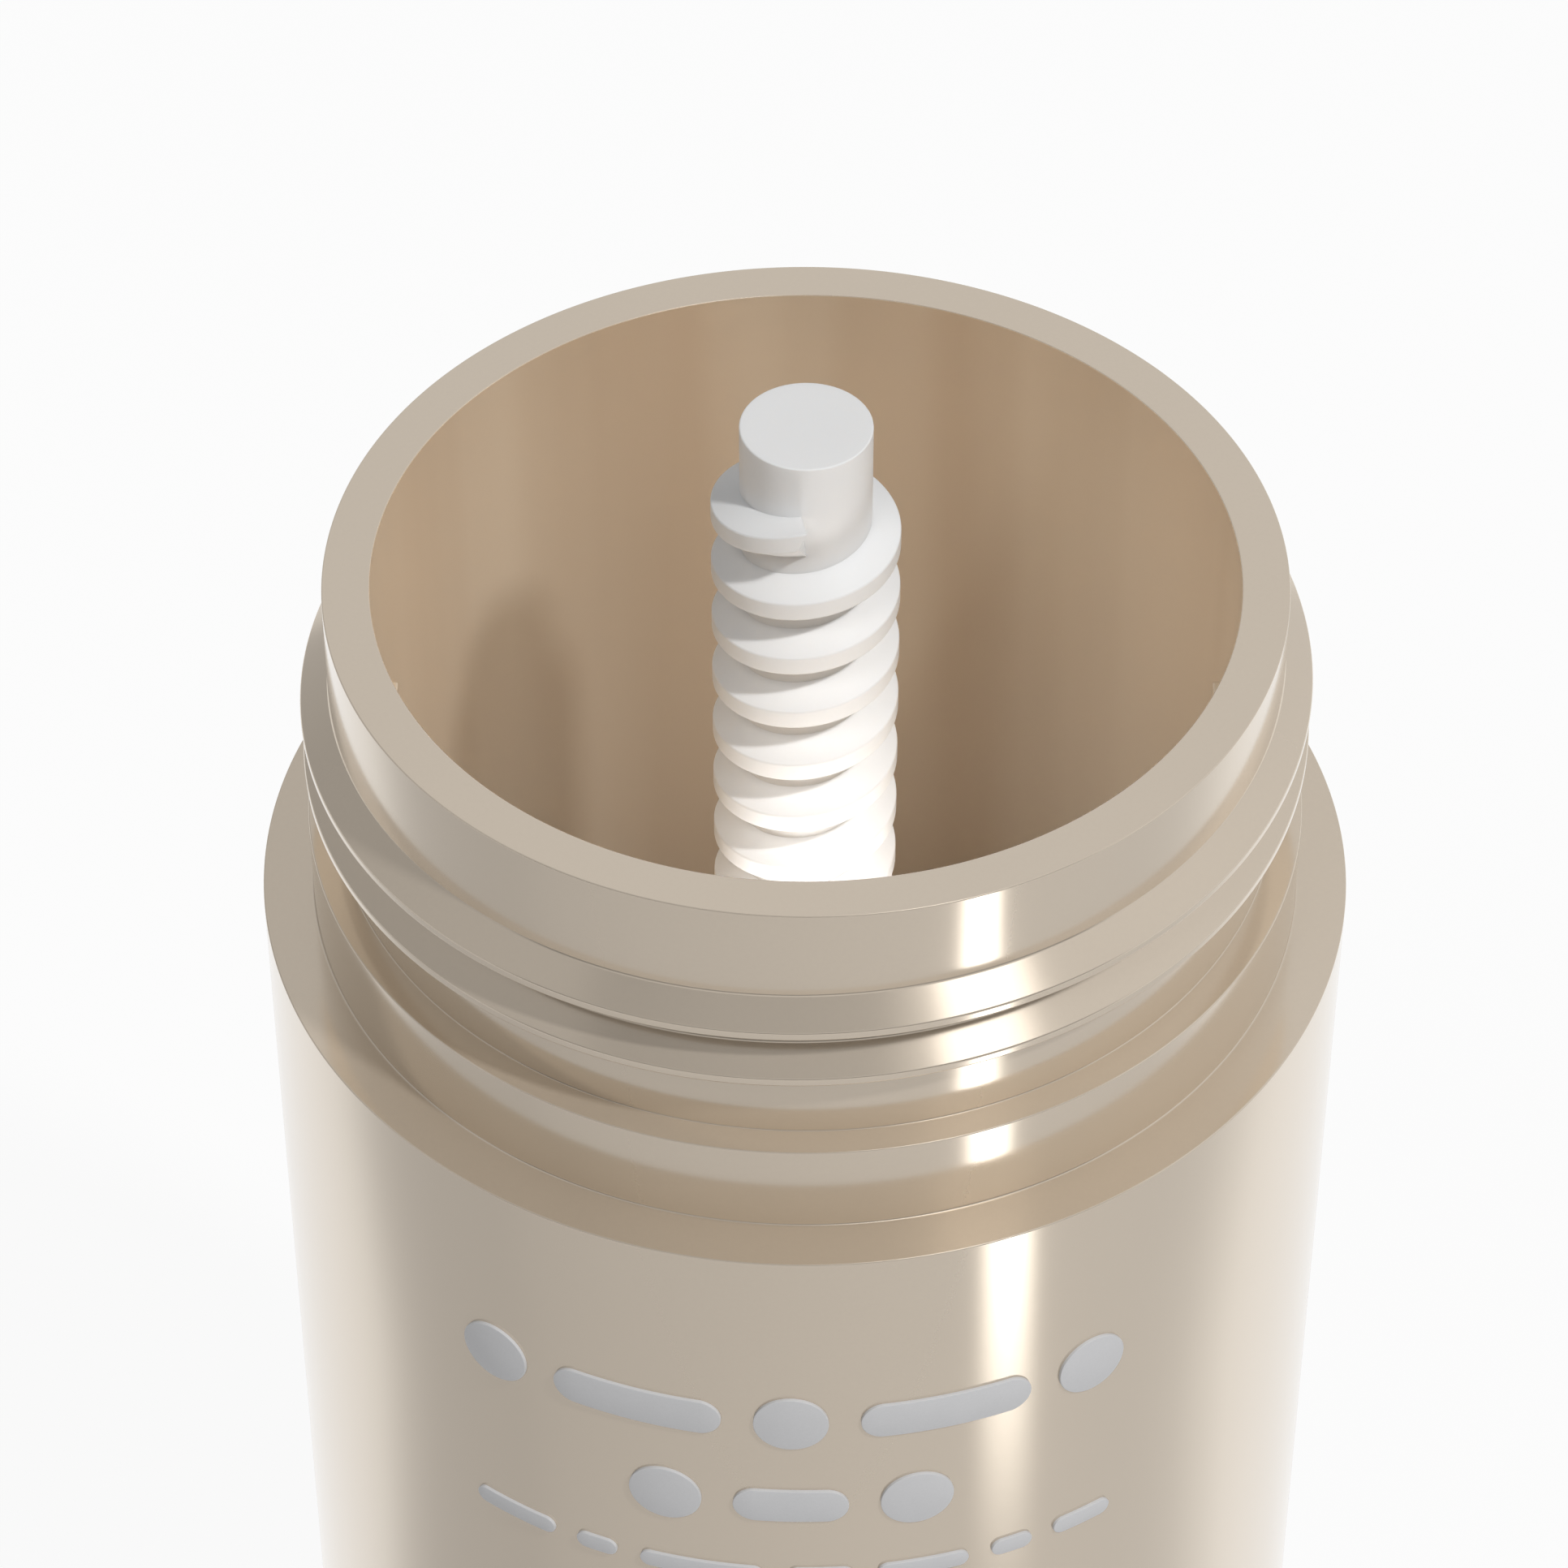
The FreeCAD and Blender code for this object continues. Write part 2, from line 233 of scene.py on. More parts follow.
# %% Wires, turned pieces and screw-shaped pieces
def draw_wire(name, corners):
    """A wire along corners (radius, height, rounding) in the XZ plane, left in edit mode. A wire
    that neither starts nor ends on the axis is closed."""
    piece = add(bpy.ops.mesh.primitive_circle_add, name, vertices=3, radius=mm)
    piece.data.name = name
    start_editing(piece)
    pick_all()
    bpy.ops.mesh.merge(type="CENTER")
    move(corners[0][0], 0, corners[0][1])
    closed = corners[0][0] > 0 or corners[-1][0] > 0
    path = corners + corners[:1] if closed else corners
    for (radius, height, _), (next_radius, next_height, _) in zip(path, path[1:]):
        step = (next_radius - radius, 0, next_height - height)
        bpy.ops.mesh.extrude_vertices_move(TRANSFORM_OT_translate={"value": step})
    weld()
    for size in sorted({corner[2] for corner in corners if corner[2]}):
        places = [corner for corner in corners if corner[2] == size]
        pick(lambda place: any(near(place.x, x) and near(place.z, z) for x, z, _ in places))
        bpy.ops.mesh.bevel(offset=size, segments=4, affect="VERTICES")
    return piece


def turned(name, corners, steps=256):
    """A solid turned about the pack's axis."""
    piece = draw_wire(name, corners)
    pick_all()
    bpy.ops.mesh.spin(
        steps=steps, angle=2 * math.pi, center=(0, 0, 0), axis=(0, 0, 1), use_auto_merge=True
    )
    weld()
    stop_editing()
    print(name, "is turned with", len(piece.data.polygons), "faces")
    return piece


def screw_shaped(name, section, pitch, turns, end_angle, end_height, steps_per_turn):
    """A right-handed ridge with a closed section, swept down from where its middle ends."""
    piece = draw_wire(name, section)
    stop_editing()
    steps = round(turns * steps_per_turn)
    apply_modifier(
        piece,
        "SCREW",
        axis="Z",
        angle=2 * math.pi * turns,
        screw_offset=pitch * turns,
        steps=steps,
        render_steps=steps,
        use_normal_calculate=True,
    )
    start_editing(piece)
    pick_all()
    bpy.ops.mesh.fill_holes(sides=0)
    stop_editing()
    piece.rotation_euler.z = end_angle - 2 * math.pi * turns
    piece.location.z = end_height - pitch * turns
    settle()
    print(name, "is swept with", len(piece.data.polygons), "faces over", turns, "turns")
    return piece


def join(piece, *others):
    """Makes several meshes one piece."""
    choose(piece)
    for other in others:
        other.select_set(True)
    bpy.ops.object.join()
    return piece


# %% [markdown]
# ## The inner barrel
#
# One moulding: the bore, the neck with its thread, and the bead ring that the cap's skirt slides
# over. Its outline is a closed section that goes round once. The edges at the mouth are broken by
# only a twentieth of a millimetre, and that is what catches the thin bright lines round the rim,
# the thread and the bead ring. The bead ring's foot flares a little over the shoulder, so no dark
# gap shows there.

# %% The turned part of the inner barrel
crisp = 0.05 * mm
foot_rise, foot_flare, foot_play = 0.004 * mm, 0.09 * mm, 0.02 * mm
bead_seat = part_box("outer_sleeve")[1].z - 0.15 * mm
boss_bottom = 9.7 * mm
bearing_radius = 4.0 * mm
boss_radius = bearing_radius + 1.2 * mm
skirt_bead_radius = neck_radius + 0.6 * mm
skirt_bead_bottom, skirt_bead_top = skirt_foot + 1.6 * mm, skirt_foot + 2.8 * mm
neck_steps = 320

barrel_section = [
    (bore_radius, rim, crisp),
    (neck_radius, rim, crisp),
    (neck_radius, bead_top, crisp),
    (bead_radius, bead_top, crisp),
    (bead_radius, shoulder + foot_rise, crisp),
    (bead_radius + foot_flare, shoulder + foot_rise, 0),
    (bead_radius + foot_play, bead_seat, 0),
    (neck_radius, bead_seat, 0),
    (neck_radius, skirt_bead_top, 0),
    (skirt_bead_radius, skirt_bead_top, 2 * crisp),
    (skirt_bead_radius, skirt_bead_bottom, 2 * crisp),
    (neck_radius, skirt_bead_bottom, 0),
    (neck_radius, skirt_foot, crisp),
    (bore_radius, skirt_foot, crisp),
    (bore_radius, floor_bottom, 0),
    (boss_radius, floor_bottom, 0),
    (boss_radius, boss_bottom, crisp),
    (bearing_radius, boss_bottom, crisp),
    (bearing_radius, floor_top, crisp),
    (bore_radius, floor_top, 0),
]
inner_barrel = turned("barrel_and_neck", barrel_section, steps=neck_steps)

# %% [markdown]
# The neck's thread is a slim ridge with sloping flanks and a narrow crest. It makes two turns,
# and both ends run out at the back: the last eighth of a turn sinks into the neck's wall.

# %% The neck's thread
thread_stand = 1.04 * mm
thread_pitch = 2.25 * mm
thread_turns = 2.0
thread_root = 1.9 * mm
thread_crest = 0.3 * mm
thread_drop = 3.6 * mm
sunk = 0.1 * mm


def ridge_section(root, stand, root_width, crest_width, rounding, reach=1, cove=0.0):
    """Corners of a ridge that stands out from root, or in towards the axis where reach is -1. cove
    is a small slope where the ridge meets its root."""
    narrowing = (root_width - crest_width) / 2 / stand
    lower = [
        (root - reach * sunk, -root_width / 2 - cove - (0 if cove else narrowing * sunk), 0),
        (root, -root_width / 2 - cove, 0),
        (root + reach * cove, -root_width / 2 + narrowing * cove, 0),
        (root + reach * stand, -crest_width / 2, rounding),
    ]
    if not cove:
        lower = [lower[0], lower[3]]
    return lower + [(radius, -height, size) for radius, height, size in reversed(lower)]


def angle_below(place, end_angle):
    """How far round a place lies before end_angle, from 0 to a full turn."""
    return (end_angle - math.atan2(place.y, place.x)) % (2 * math.pi)


back = math.pi / 2
thread_top = rim - thread_drop
thread_bottom = thread_top - thread_pitch * thread_turns
section = ridge_section(neck_radius, thread_stand, thread_root, thread_crest, crisp, cove=crisp)
neck_thread = screw_shaped(
    "neck_thread", section, thread_pitch, thread_turns, back, thread_top, neck_steps
)

# %% The ridge sinks into the wall at both its ends
run_out = math.radians(45)
start_editing(neck_thread)
crest, deepest = neck_radius + thread_stand, neck_radius - sunk
columns = 40
for column in range(columns):
    share = column / columns
    for side, middle in ((-1, thread_top), (1, thread_bottom)):
        angle = back + side * run_out * share
        level = middle + side * thread_pitch * run_out * share / (2 * math.pi)
        half = run_out / columns / 2

        def here(place):
            turned_by = (math.atan2(place.y, place.x) - angle + math.pi) % (2 * math.pi) - math.pi
            outside = math.hypot(place.x, place.y) > neck_radius
            return outside and abs(turned_by) < half and abs(place.z - level) < thread_pitch / 2

        if pick(here):
            scale = (deepest + (crest - deepest) * math.sin(share * math.pi / 2)) / crest
            widen(scale)
stop_editing()
print("the neck thread's ends are sunk over", round(math.degrees(run_out)), "degrees")

# %% [markdown]
# Inside, two ribs keep the carrier from turning, and outside, near the foot, six short ribs
# centre the jacket. Each starts as a cube, gets its length and place in edit mode, and has its
# upright edges bevelled.

# %% Ribs
guide_stand, guide_width, guide_drop = 0.7 * mm, 1.6 * mm, 6.0 * mm
centring_height, centring_width = 5.0 * mm, 1.4 * mm
sleeve_bore = body_radius - 1.3 * mm


def rib(name, reach, width, heights, angle):
    """An upright bar from one radius to another, at an angle about the axis."""
    (inner, outer), (bottom, top) = reach, heights
    piece = add(bpy.ops.mesh.primitive_cube_add, name, size=1)
    piece.data.name = name
    start_editing(piece)
    middle = ((inner + outer) / 2, 0, (bottom + top) / 2)
    size_and_place((outer - inner, width, top - bottom), middle)
    bpy.ops.mesh.bevel(offset=2 * crisp, segments=2, affect="EDGES")
    stop_editing()
    piece.rotation_euler.z = angle
    settle()
    return piece


def rib_ring(name, number, start, reach, width, heights):
    """Ribs of one size at even angles round the axis, the first at start."""
    angles = [start + 2 * math.pi * count / number for count in range(number)]
    return [rib(f"{name}_{n}", reach, width, heights, angle) for n, angle in enumerate(angles)]


reach = (bore_radius - guide_stand, bore_radius + sunk)
heights = (floor_top - sunk, rim - guide_drop)
ribs = rib_ring("guide_rib", 2, 0, reach, guide_width, heights)
reach = (neck_radius - sunk, sleeve_bore - crisp)
heights = (sleeve_bottom, sleeve_bottom + centring_height)
ribs += rib_ring("centring_rib", 6, back, reach, centring_width, heights)
join(inner_barrel, neck_thread, *ribs)
finish_surface(inner_barrel)
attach(inner_barrel, "barrel")
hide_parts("inner_barrel")
print("the inner barrel has", len(ribs), "ribs")

# %% [markdown]
# ## The jacket
#
# A smooth tube with a turned-in top. Its top is the flat shoulder, with a shallow seat that the
# bead ring's foot stands in. The lower edge is rounded more, because it faces the dial across an
# open line.

# %% The jacket
lip = neck_radius + 0.05 * mm
seat_radius = bead_radius + 0.05 * mm
shoulder_thickness = 1.5 * mm
seam_edge = 0.2 * mm

jacket_section = [
    (seat_radius, shoulder, 0),
    (body_radius, shoulder, crisp),
    (body_radius, sleeve_bottom, seam_edge),
    (sleeve_bore, sleeve_bottom, crisp),
    (sleeve_bore, shoulder - shoulder_thickness, 0),
    (lip, shoulder - shoulder_thickness, 0),
    (lip, bead_seat, 0),
    (seat_radius, bead_seat, 0),
]
jacket = turned("jacket", jacket_section, steps=neck_steps)
finish_surface(jacket)
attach(jacket, "barrel")
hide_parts("outer_sleeve")

# %% [markdown]
# ## The screw
#
# The screw stands in the middle of the bore. Its top is a plain round pin, and under that one
# ridge winds round the core for the carrier's nut. It is moulded in white plastic, so its edges
# are softer than the metallised ones. The unseen foot has a flange over the barrel's floor, a
# journal through it, and a hexagonal stub that the dial drives.

# %% The core, flange and journal
core_radius = 2.33 * mm
flange_bottom, flange_top = 12.9 * mm, 14.1 * mm
flange_radius, journal_radius = 6.5 * mm, 3.95 * mm
socket_top = 9.6 * mm
stub_flats = 5.0 * mm
stub_reach = stub_flats / math.sqrt(3)
soft = 0.06 * mm

core_section = [
    (0, pin_top, 0),
    (core_radius, pin_top, soft),
    (core_radius, flange_top, 0),
    (flange_radius, flange_top, 2 * soft),
    (flange_radius, flange_bottom, 2 * soft),
    (journal_radius, flange_bottom, 0),
    (journal_radius, socket_top, soft),
    (0, socket_top, 0),
]
screw = turned("screw", core_section, steps=192)

prism = {"vertices": 6, "radius": stub_reach, "depth": 1, "rotation": (0, 0, math.radians(30))}
stub = add(bpy.ops.mesh.primitive_cylinder_add, "stub", **prism)
settle()
start_editing(stub)
stub_top = socket_top + sunk
size_and_place((1, 1, stub_top - stub_foot), (0, 0, (stub_top + stub_foot) / 2))
bpy.ops.mesh.bevel(offset=2 * soft, segments=2, affect="EDGES")
stop_editing()

# %% The ridge round the core
flight_stand = 1.02 * mm
flight_pitch = 2.58 * mm
flight_root = 1.85 * mm
flight_crest = 0.72 * mm
plain_pin = 3.1 * mm
flight_end = pin_top - plain_pin
flight_end_angle = math.radians(-90 - 2)
flight_room = flight_end - flange_top - 0.15 * mm - flight_root / 2
flight_turns = math.floor(2 * flight_room / flight_pitch) / 2
columns_per_turn = 96

section = ridge_section(core_radius, flight_stand, flight_root, flight_crest, soft)
flight = screw_shaped(
    "flight", section, flight_pitch, flight_turns, flight_end_angle, flight_end, columns_per_turn
)

# %% [markdown]
# The ridge's last quarter turn isn't quite regular: its crest climbs faster than its root, so its
# upper side comes out nearly level, and the end is cut off with a small step. The crest's
# vertices are picked column by column from the end backwards, and each column goes up a little
# less than the one before.

# %% The ridge's last quarter turn
lift_reach = math.radians(82)
lift, lift_easing = 0.67 * mm, 1.6
column_angle = 2 * math.pi / columns_per_turn
start_editing(flight)
for column in range(int(lift_reach / column_angle)):
    level = flight_end - flight_pitch * column / columns_per_turn

    def crest_here(place):
        back_by = (angle_below(place, flight_end_angle) + column_angle / 2) % (2 * math.pi)
        in_column = column * column_angle < back_by < (column + 1) * column_angle
        outside = math.hypot(place.x, place.y) > core_radius + flight_stand / 2
        return in_column and outside and abs(place.z - level) < flight_pitch / 2

    pick(crest_here)
    rise = lift * (1 - column * column_angle / lift_reach) ** lift_easing
    move(0, 0, rise)
stop_editing()
print("the crest's last", round(math.degrees(lift_reach)), "degrees climb", lift / mm, "mm more")

# %% The small step at the ridge's end
# Each corner of the end: at the crest or not, above or not, and how far it goes along in mm.
end_shifts = ((True, True, 0.13), (True, False, -0.14), (False, True, -0.12), (False, False, 0.12))
start_editing(flight)
for at_crest, upper, shift in end_shifts:
    level = flight_end + (lift if at_crest else 0)

    def end_corner(place):
        ahead = (angle_below(place, flight_end_angle) + column_angle / 4) % (2 * math.pi)
        outside = math.hypot(place.x, place.y) > core_radius + flight_stand / 2
        close = ahead < column_angle / 2 and abs(place.z - level) < flight_pitch / 2
        return close and outside == at_crest and (place.z > level) == upper

    pick(end_corner)
    move(shift * mm, 0, 0)
stop_editing()

join(screw, stub, flight)
finish_surface(screw)
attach(screw, "dial")
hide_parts("spindle")

# %% [markdown]
# ## The carrier
#
# The carrier is the cup-shaped nut that holds the product's foot. Platform, hub and skirt are
# turned in one outline. The holes that key the product and the two guide slots are cut with a
# Boolean modifier, the webs and the cheeks of the slots are joined on, and the nut's thread is
# swept inside the hub.

# %% The carrier's turned part
slide_gap = 0.3 * mm
nut_bore = 3.5 * mm
hub_radius = nut_bore + 1.9 * mm
skirt_radius = bore_radius - slide_gap
skirt_bore = skirt_radius - 1.0 * mm
carrier_low, carrier_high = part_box("elevator")
platform_bottom = carrier_low.z + 4.0 * mm
platform_top = platform_bottom + 1.2 * mm
hub_top = platform_bottom + 6.0 * mm
skirt_top = carrier_high.z

carrier_section = [
    (nut_bore, hub_top, 2 * soft),
    (hub_radius, hub_top, 3 * soft),
    (hub_radius, platform_top, 2 * soft),
    (skirt_bore, platform_top, 2 * soft),
    (skirt_bore, skirt_top, 3 * soft),
    (skirt_radius, skirt_top, 3 * soft),
    (skirt_radius, carrier_low.z, 2 * soft),
    (skirt_bore, carrier_low.z, 2 * soft),
    (skirt_bore, platform_bottom, 0),
    (hub_radius, platform_bottom, 0),
    (hub_radius, carrier_low.z, 2 * soft),
    (nut_bore, carrier_low.z, 2 * soft),
]
carrier = turned("carrier", carrier_section, steps=192)

# %% Cheeks, slots, key holes and webs
slot_depth, slot_width = guide_stand + slide_gap, guide_width + 2 * slide_gap
slot_floor = bore_radius - slot_depth
cheek_wall = 1.0 * mm
web_thickness, web_depth = 1.0 * mm, 2.5 * mm
key_hole_radius, key_hole_circle = 2.0 * mm, (hub_radius + skirt_bore) / 2


def boolean(piece, others, operation):
    """Adds or cuts away other solids, which are used up. Every solid is turned right side out
    first, because walls go missing from one that isn't."""
    for solid in (piece, *others):
        start_editing(solid)
        face_outwards()
        stop_editing()
    for other in others:
        apply_modifier(piece, "BOOLEAN", operation=operation, object=other, solver="EXACT")
        bpy.data.objects.remove(other)


reach = (slot_floor - cheek_wall, skirt_bore + 3 * sunk)
heights = (carrier_low.z + sunk / 10, skirt_top - sunk / 10)
cheeks = rib_ring("cheek", 2, 0, reach, slot_width + 2 * cheek_wall, heights)
reach = (hub_radius - 3 * sunk, skirt_bore + 3 * sunk)
heights = (platform_bottom - web_depth, platform_bottom + sunk)
webs = rib_ring("web", 6, math.pi / 6, reach, web_thickness, heights)
reach, heights = (slot_floor, skirt_radius + 5 * sunk), (carrier_low.z - mm, skirt_top + mm)
slots = rib_ring("slot", 2, 0, reach, slot_width, heights)
cylinder = {"vertices": 48, "radius": key_hole_radius, "depth": 3 * mm}
holes = []
for count in range(6):
    angle = math.pi * count / 3
    across, along = key_hole_circle * math.cos(angle), key_hole_circle * math.sin(angle)
    place = (across, along, platform_bottom)
    name = f"key_hole_{count}"
    holes.append(add(bpy.ops.mesh.primitive_cylinder_add, name, location=place, **cylinder))
boolean(carrier, cheeks + webs, "UNION")
boolean(carrier, holes + slots, "DIFFERENCE")
print("the carrier has", len(carrier.data.polygons), "faces after its cuts")

# %% The nut's thread
thread_gap = 0.15 * mm
tip = core_radius + thread_gap
slope = (flight_root - flight_crest) / flight_stand
groove_floor = flight_pitch - flight_root
tip_width = groove_floor + slope * (tip - core_radius) - 2 * thread_gap
nut_root = groove_floor + slope * (nut_bore - core_radius) - 2 * thread_gap
first_groove = flight_end - flight_pitch * (flight_turns - 0.5)
lowest = carrier_low.z + nut_root / 2
nut_start = first_groove + flight_pitch * math.ceil((lowest - first_groove) / flight_pitch)
nut_turns = math.floor(2 * (hub_top - nut_root / 2 - nut_start) / flight_pitch) / 2
nut_end_angle = flight_end_angle + 2 * math.pi * (nut_turns - flight_turns)

section = ridge_section(nut_bore, nut_bore - tip, nut_root, tip_width, soft, reach=-1)
nut_thread = screw_shaped(
    "nut_thread",
    section,
    flight_pitch,
    nut_turns,
    nut_end_angle,
    nut_start + flight_pitch * nut_turns,
    columns_per_turn,
)
join(carrier, nut_thread)
finish_surface(carrier)
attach(carrier, "elevator")
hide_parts("elevator")

# %% [markdown]
# ## The dial
#
# The dial is a short cup under the jacket, in the same metallised finish. Its grip is a ring of
# shallow upright hollows. The outer wall is spun with twelve columns to each hollow and a few
# rows near the hollows' ends, and then the columns are scaled in towards the axis, deepest in the
# middle, so that each hollow has a round section and rounded ends.

# %% The dial's outline
shell_bore = body_radius - 1.5 * mm
deck_bottom, deck_top = 3.2 * mm, 4.6 * mm
socket_wall, socket_gap = 2.3 * mm, 0.04 * mm
socket_radius = (stub_flats + socket_gap) / math.sqrt(3) + socket_wall
stop_bore, stop_bottom, stop_top = shell_bore - 0.8 * mm, 1.7 * mm, 2.5 * mm
foot_round, inner_foot_round = 0.5 * mm, 0.2 * mm
snap_bottom, snap_top = skirt_bead_top + 0.3 * mm, skirt_bead_top + 1.5 * mm
snap_bore = neck_radius + 0.3 * mm
flute_margin = 2.4 * mm
flute_ends = (0, 0.12, 0.3, 0.55, 0.85)
flute_rows = [flute_margin + depth * mm for depth in flute_ends]
flute_rows += [dial_top - row for row in reversed(flute_rows)]

dial_section = [
    (0, deck_top, 0),
    (shell_bore, deck_top, 0),
    (shell_bore, snap_bottom, 0),
    (snap_bore, snap_bottom, crisp),
    (snap_bore, snap_top, crisp),
    (shell_bore, snap_top, 0),
    (shell_bore, dial_top, crisp),
    (body_radius, dial_top, seam_edge),
    *[(body_radius, row, 0) for row in reversed(flute_rows)],
    (body_radius, 0, foot_round),
    (shell_bore, 0, inner_foot_round),
    (shell_bore, stop_bottom, 0),
    (stop_bore, stop_bottom, 0),
    (stop_bore, stop_top, 0),
    (shell_bore, stop_top, 0),
    (shell_bore, deck_bottom, 0),
    (0, deck_bottom, 0),
]
dial = turned("dial", dial_section, steps=576)

# %% The grip's hollows
flutes, flute_depth, flute_width = 48, 0.3 * mm, 1.5 * mm
flute_radius = (flute_depth**2 + (flute_width / 2) ** 2) / (2 * flute_depth)
flute_step = 2 * math.pi / flutes
phase_step = flute_step / 12
start_editing(dial)
for row in flute_rows:
    from_end = min(row - flute_margin, dial_top - flute_margin - row)
    share = math.sqrt(max(0, 1 - (1 - min(1, from_end / (flute_ends[-1] * mm))) ** 2))
    for phase in range(4):
        across = phase * phase_step * body_radius
        depth = share * (flute_depth - flute_radius + math.sqrt(flute_radius**2 - across**2))

        def in_flute(place):
            turn = math.atan2(place.y, place.x) % flute_step
            offset = min(turn, flute_step - turn)
            outside = near(math.hypot(place.x, place.y), body_radius, 1e-6)
            return outside and near(place.z, row, 1e-6) and near(offset, phase * phase_step, 1e-4)

        if depth > 0 and pick(in_flute):
            scale = 1 - depth / body_radius
            widen(scale)
stop_editing()
print("the dial has", flutes, "hollows, each", flute_depth / mm, "mm deep")

# %% The drive socket
socket_section = [
    (stub_reach, deck_top - sunk, 0),
    (socket_radius, deck_top - sunk, 0),
    (socket_radius, socket_top, crisp),
    (stub_reach, socket_top, crisp),
]
socket = turned("socket", socket_section, steps=96)
join(dial, socket)
finish_surface(dial)
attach(dial, "dial")
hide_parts("dial")

# %% [markdown]
# ## The base cover
#
# A white disc snapped into the dial's underside. A moulded disc like this has a slightly raised
# outer ring and a small dimple in the middle, where the plastic was injected.

# %% The base cover
cover_bottom, cover_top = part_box("base_cover")[0].z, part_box("base_cover")[1].z
cover_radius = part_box("base_cover")[1].x
dimple, recess = cover_bottom + 0.45 * mm, cover_bottom + 0.2 * mm
dimple_radius, ring_width, ramp = 1.2 * mm, 3.0 * mm, 0.4 * mm
cover_section = [
    (0, dimple, 0),
    (dimple_radius, dimple, 2 * crisp),
    (1.5 * dimple_radius, recess, 2 * crisp),
    (cover_radius - ring_width - ramp, recess, 2 * crisp),
    (cover_radius - ring_width, cover_bottom, 2 * crisp),
    (cover_radius, cover_bottom, 3 * crisp),
    (cover_radius, cover_top, 2 * crisp),
    (0, cover_top, 0),
]
cover = turned("base_disc", cover_section)
finish_surface(cover)
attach(cover, "dial")
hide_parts("base_cover")

# %% [markdown]
# ## The raised marks
#
# Three rows of plain pads stand on the jacket's front: discs with rounded bars between them, and
# a row of thin bars under those. Each pad is a flat outline that is extruded, bevelled on its
# front edge and cut into narrow upright strips. A Simple Deform modifier then bends the whole row
# round the barrel.

# %% One flat pad
mark_relief = 0.12 * mm
strip = 0.4 * mm


def flat_pad(name, length, height, along, level):
    """A rounded bar in the XZ plane at Y = 0, its front face towards -Y. A disc is a bar that is
    as long as it is high."""
    face = {"vertices": 64, "radius": height / 2, "fill_type": "NGON"}
    piece = add(bpy.ops.mesh.primitive_circle_add, name, rotation=(math.pi / 2, 0, 0), **face)
    piece.data.name = name
    settle()
    start_editing(piece)
    straight = (length - height) / 2
    for side in (-1, 1):
        pick(lambda place: side * place.x > 1e-7)
        move(side * straight, 0, 0)
    pick_all()
    bpy.ops.mesh.extrude_region_move(TRANSFORM_OT_translate={"value": (0, -mark_relief, 0)})
    bpy.ops.mesh.select_mode(type="EDGE")
    bpy.ops.mesh.region_to_loop()
    bpy.ops.mesh.bevel(offset=0.03 * mm, segments=3, affect="EDGES")
    bpy.ops.mesh.select_mode(type="VERT")
    cuts = int(length / strip)
    for cut in range(1, cuts):
        pick_all()
        place = (length * (cut / cuts - 0.5), 0, 0)
        bpy.ops.mesh.bisect(plane_co=place, plane_no=(1, 0, 0))
    pick_all()
    move(along, 0, level)
    stop_editing()
    return piece


# %% Rows of pads, bent round the barrel
mark_gap, small_gap = 1.15 * mm, 0.9 * mm
marks_angle = math.radians(-1.5)


def mark_row(name, sizes, gap, drop):
    """A row of pads (length, height) in mm, centred on the jacket's front."""
    whole = sum(length for length, _ in sizes) * mm + gap * (len(sizes) - 1)
    along = -whole / 2
    pads = []
    for count, (length, height) in enumerate(sizes):
        middle = along + length * mm / 2
        pads.append(flat_pad(f"{name}_{count}", length * mm, height * mm, middle, shoulder - drop))
        along += length * mm + gap
    row = join(*pads)
    row.name = row.data.name = name
    start_editing(row)
    pick_all()
    bpy.ops.mesh.normals_make_consistent(inside=False)
    stop_editing()
    apply_modifier(
        row, "SIMPLE_DEFORM", deform_method="BEND", deform_axis="Z", angle=whole / body_radius
    )
    print(name, "has", len(sizes), "pads and", len(row.data.polygons), "faces")
    return row


disc, bar_height, small_height = 2.7, 1.7, 0.8
dot, long_bar, short_bar = (disc, disc), (6.3, bar_height), (4.2, bar_height)
thin_bars = [(length, small_height) for length in (3.4, 1.6, 4.6, 2.4, 3.4, 1.6, 2.4)]
rows = [
    mark_row("upper_row", [dot, long_bar, dot, long_bar, dot], mark_gap, 8.5 * mm),
    mark_row("lower_row", [dot, short_bar, dot], mark_gap, 13.1 * mm),
    mark_row("small_row", thin_bars, small_gap, 17.1 * mm),
]

# %% Rows onto the jacket
for row in rows:
    start_editing(row)
    pick_all()
    move(0, -body_radius, 0)
    stop_editing()
    row.rotation_euler.z = marks_angle
    choose(row)
    settle()
    bpy.ops.object.shade_smooth_by_angle(angle=math.radians(30))
    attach(row, "barrel")
for row, node in zip(rows, ("upper_marks", "lower_marks", "small_marks")):
    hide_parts(node)
    low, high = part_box(node)
    print(row.name, "is", round((high.x - low.x) / mm, 2), "mm across in the frame")

# %% [markdown]
# ## Materials
#
# A material is written as sums on values. The small class below wraps a node's output, so that
# `0.2 + 0.04 * cloud` adds the two Math nodes, and every other node comes from one method of the
# finish it belongs to. Patterns read Object coordinates, which stay with the piece as it moves.

